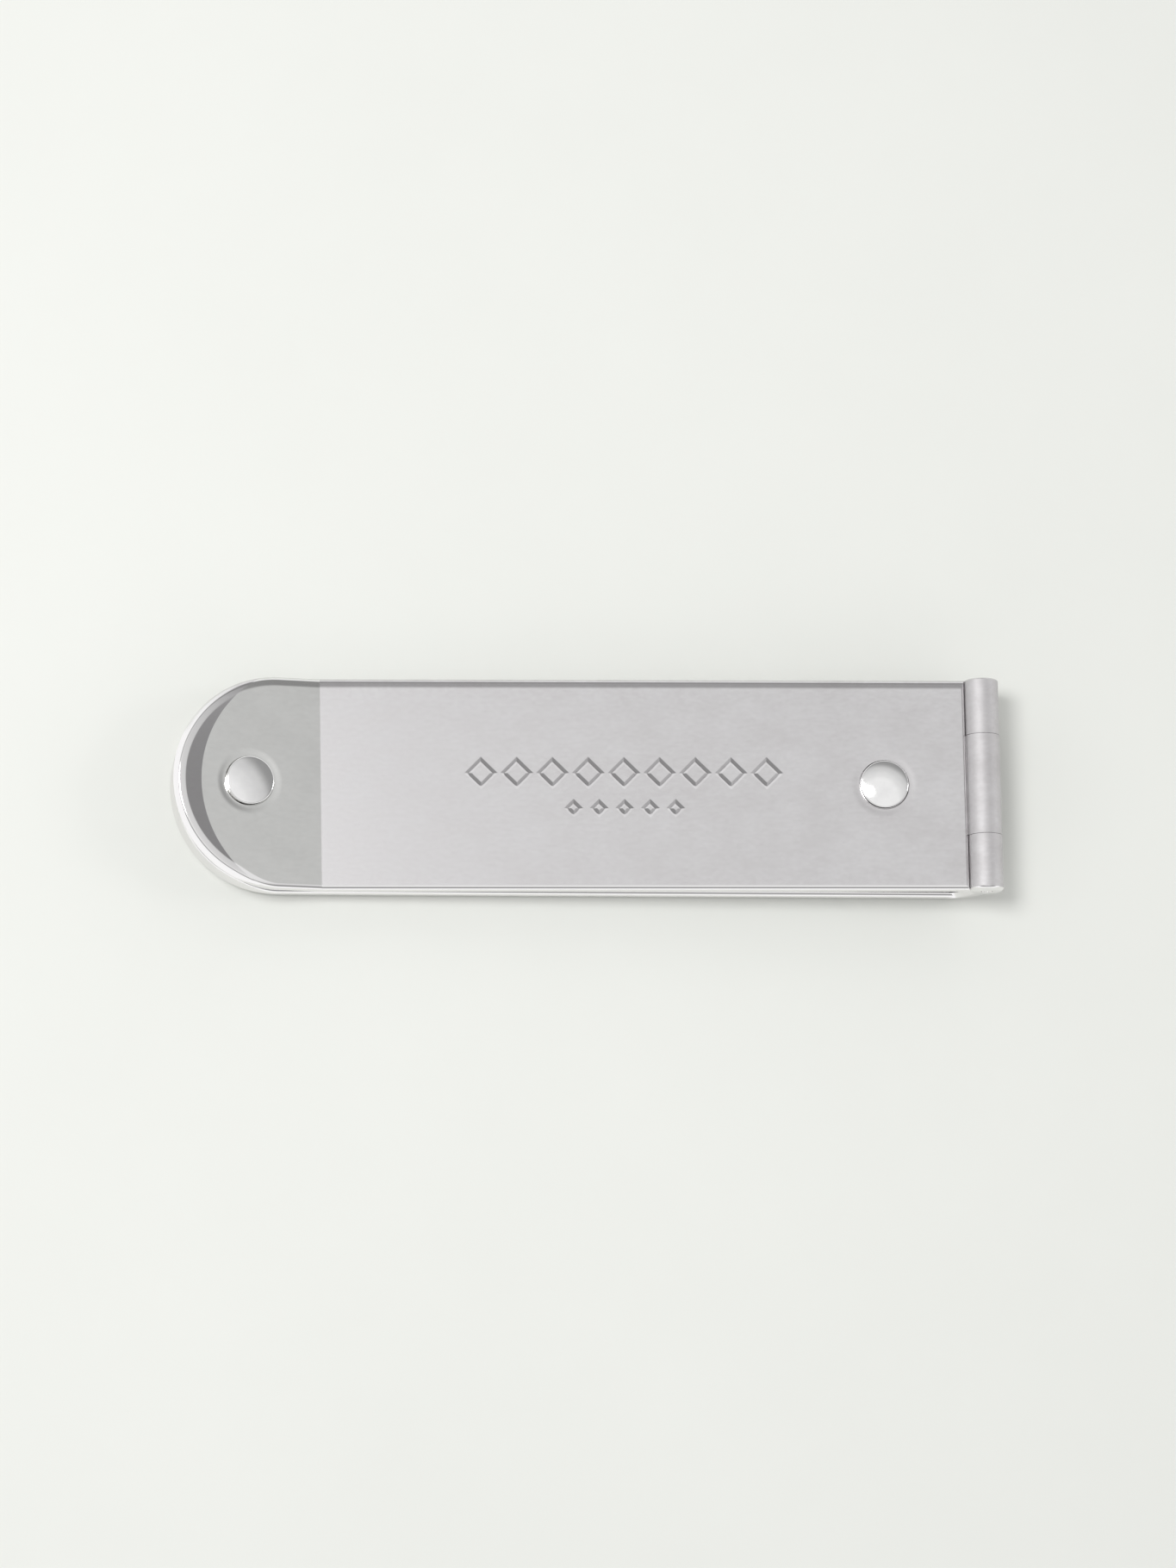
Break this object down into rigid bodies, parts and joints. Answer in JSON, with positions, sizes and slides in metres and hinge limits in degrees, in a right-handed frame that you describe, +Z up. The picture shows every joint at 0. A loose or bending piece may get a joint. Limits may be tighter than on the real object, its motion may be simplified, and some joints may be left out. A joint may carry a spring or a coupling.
{
  "type": "money clip",
  "caption": "Slim hinged money clip: two satin plates with round tips, joined by a pin hinge and pressed shut by a riveted leaf spring.",
  "frame": {"origin": "centre of the footprint at the underside of the lower plate, where the closed clip rests", "axes": "+X from the open rounded tips to the hinge barrel, +Y across the clip, +Z up out of the engraved face"},
  "size_m": [0.065, 0.0168, 0.0046],
  "materials": {
    "plate_metal": "satin silver-tone plate with polished edges",
    "spring_steel": "cold-rolled strip",
    "polished_metal": "mirror polished"
  },
  "bodies": {
    "base": {"lower_plate": "plate_metal", "hinge_pin": "polished_metal"},
    "arm": {"upper_plate": "plate_metal", "leaf_spring": "spring_steel", "tip_rivet": "polished_metal", "hinge_rivet": "polished_metal"}
  },
  "joints": [
    {"name": "clip_hinge", "type": "hinge", "parent": "base", "child": "arm", "pos_m": [0.03115, 0, 0.0033], "axis": [0, 1, 0], "range_deg": [0, 80], "stiffness_Nm_per_rad": 0.04, "springref_deg": -57.3}
  ]
}
